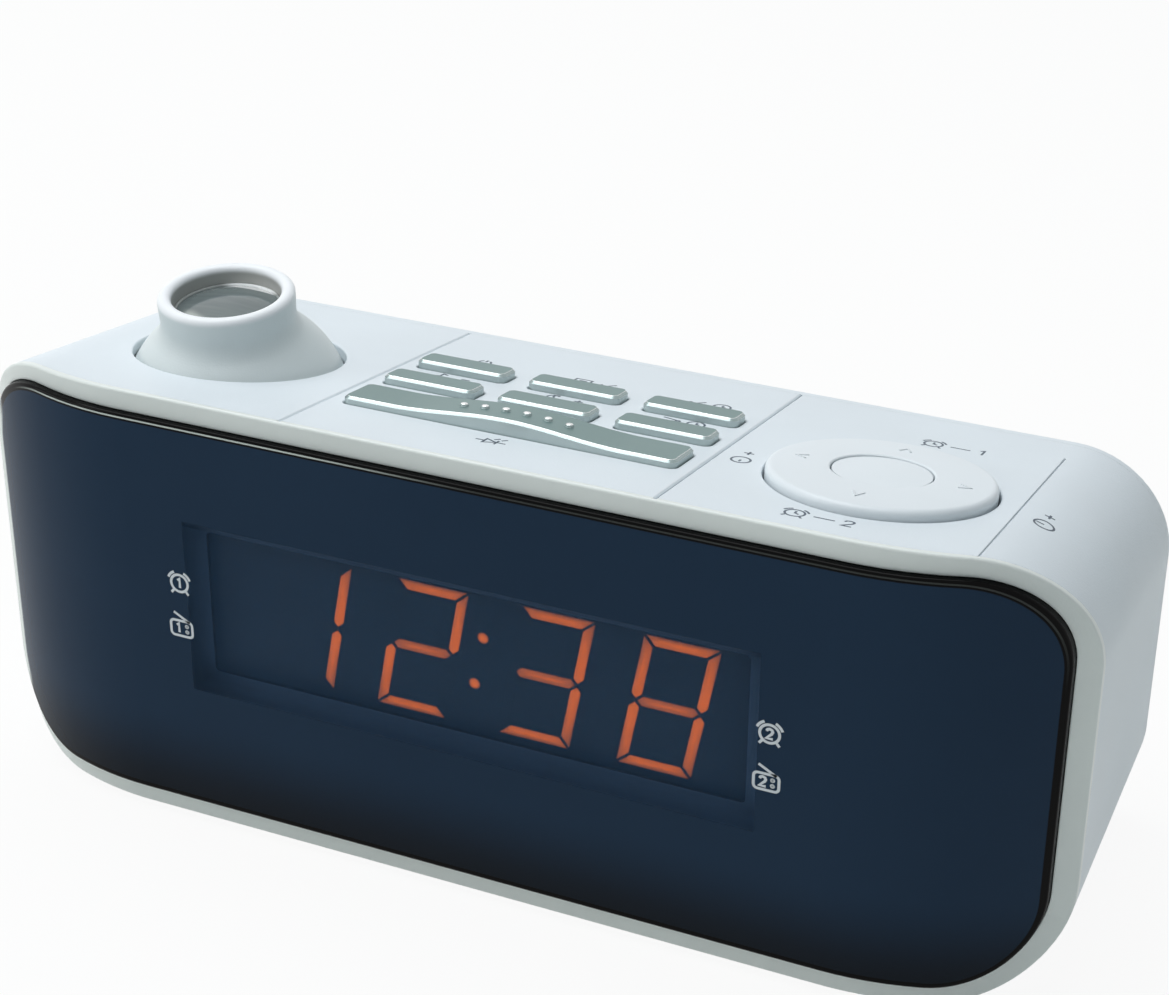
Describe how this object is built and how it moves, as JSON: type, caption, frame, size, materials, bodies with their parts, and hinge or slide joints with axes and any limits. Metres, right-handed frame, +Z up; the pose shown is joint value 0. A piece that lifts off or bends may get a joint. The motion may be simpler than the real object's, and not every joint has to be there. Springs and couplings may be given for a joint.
{
  "type": "projection alarm clock",
  "caption": "Bedside clock radio with a bowed smoked display front, silver top keys, an arched snooze bar, a rocking four-way pad and a tilting time projector.",
  "frame": {"origin": "centre of the overall outline on the surface that the feet stand on", "axes": "+X to the viewer's right along the casing, +Y from the display front to the back, +Z up"},
  "size_m": [0.1896, 0.0702, 0.0864],
  "materials": {
    "shell_white": "fine-textured white moulding",
    "frame_white": "semi-gloss white moulding",
    "smoked_lens": "dark blue smoked acrylic, polished",
    "silver_key": "silver metallic paint",
    "pad_white": "warm white satin moulding",
    "head_white": "satin white moulding",
    "lens_glass": "clear moulded lens",
    "black_plastic": "black moulding",
    "filter_film": "dark tinted film",
    "amber_light": "glowing light bar",
    "dark_light": "unlit light bar",
    "circuit_board": "green solder mask",
    "white_block": "black reflector block",
    "bright_steel": "zinc plated",
    "spring_nickel": "nickel plated strip",
    "speaker_steel": "black pressed steel",
    "speaker_paper": "pressed paper cone",
    "ferrite": "sintered magnet",
    "foot_rubber": "soft black rubber",
    "switch_black": "switch body",
    "can_sleeve": "shrink sleeve",
    "chip_resin": "moulded resin",
    "cell_steel": "steel can"
  },
  "bodies": {
    "casing": {"main_case": "shell_white", "front_frame": "frame_white", "front_lens": "smoked_lens", "key_panel": "shell_white", "rear_cover": "shell_white", "rear_screws": "bright_steel", "rubber_feet": "foot_rubber", "display_filter": "filter_film", "display_reflector": "white_block", "lit_bars": "amber_light", "dark_bars": "dark_light", "display_board": "circuit_board", "display_screws": "bright_steel", "key_switches": "switch_black", "key_board": "circuit_board", "key_board_screws": "bright_steel", "dial_carrier": "black_plastic", "dial_switches": "switch_black", "dial_board": "circuit_board", "dial_screws": "bright_steel", "projector_cradle": "black_plastic", "cradle_screws": "bright_steel", "speaker_frame": "speaker_steel", "speaker_cone": "speaker_paper", "speaker_magnet": "ferrite", "coin_cell": "cell_steel", "cell_contacts": "spring_nickel", "main_board": "circuit_board", "main_board_screws": "bright_steel", "board_capacitors": "can_sleeve", "board_chips": "chip_resin", "power_inlet": "black_plastic", "aerial_gland": "foot_rubber"},
    "key_front_left": {"key_front_left": "silver_key"},
    "key_front_middle": {"key_front_middle": "silver_key"},
    "key_front_right": {"key_front_right": "silver_key"},
    "key_rear_left": {"key_rear_left": "silver_key"},
    "key_rear_middle": {"key_rear_middle": "silver_key"},
    "key_rear_right": {"key_rear_right": "silver_key"},
    "snooze_bar": {"snooze_bar": "silver_key"},
    "dial_ring": {"dial_ring": "black_plastic"},
    "dial_pad": {"dial_pad": "pad_white"},
    "dial_button": {"dial_button": "pad_white"},
    "projector_head": {"projector_head": "head_white", "projection_lens": "lens_glass", "lens_barrel": "black_plastic", "picture_slide": "black_plastic", "lamp_board": "circuit_board"},
    "battery_door": {"battery_door": "shell_white"}
  },
  "joints": [
    {"name": "key_front_left_press", "type": "slide", "parent": "casing", "child": "key_front_left", "axis": [0, -0.1625, -0.9867], "range_m": [0, 0.0005], "stiffness_N_per_m": 300},
    {"name": "key_front_middle_press", "type": "slide", "parent": "casing", "child": "key_front_middle", "axis": [0, -0.1625, -0.9867], "range_m": [0, 0.0005], "stiffness_N_per_m": 300},
    {"name": "key_front_right_press", "type": "slide", "parent": "casing", "child": "key_front_right", "axis": [0, -0.1625, -0.9867], "range_m": [0, 0.0005], "stiffness_N_per_m": 300},
    {"name": "key_rear_left_press", "type": "slide", "parent": "casing", "child": "key_rear_left", "axis": [0, -0.1625, -0.9867], "range_m": [0, 0.0005], "stiffness_N_per_m": 300},
    {"name": "key_rear_middle_press", "type": "slide", "parent": "casing", "child": "key_rear_middle", "axis": [0, -0.1625, -0.9867], "range_m": [0, 0.0005], "stiffness_N_per_m": 300},
    {"name": "key_rear_right_press", "type": "slide", "parent": "casing", "child": "key_rear_right", "axis": [0, -0.1625, -0.9867], "range_m": [0, 0.0005], "stiffness_N_per_m": 300},
    {"name": "snooze_press", "type": "slide", "parent": "casing", "child": "snooze_bar", "axis": [0, -0.1625, -0.9867], "range_m": [0, 0.0005], "stiffness_N_per_m": 500},
    {"name": "dial_rock_front_back", "type": "hinge", "parent": "casing", "child": "dial_ring", "pos_m": [0.0566, -0.00708, 0.06872], "axis": [1, 0, 0], "range_deg": [-2.3, 2.3], "stiffness_Nm_per_rad": 0.5},
    {"name": "dial_rock_left_right", "type": "hinge", "parent": "dial_ring", "child": "dial_pad", "pos_m": [0.0566, -0.00708, 0.06872], "axis": [0, 0.9867, -0.1625], "range_deg": [-2.3, 2.3], "stiffness_Nm_per_rad": 0.5},
    {"name": "dial_button_press", "type": "slide", "parent": "dial_pad", "child": "dial_button", "axis": [0, -0.1625, -0.9867], "range_m": [0, 0.0005], "stiffness_N_per_m": 300},
    {"name": "projector_tilt", "type": "hinge", "parent": "casing", "child": "projector_head", "pos_m": [-0.056, -0.00545, 0.06389], "axis": [1, 0, 0], "range_deg": [-32, 6]},
    {"name": "battery_door_slide", "type": "slide", "parent": "casing", "child": "battery_door", "axis": [0, 1, 0], "range_m": [0, 0.036]}
  ]
}
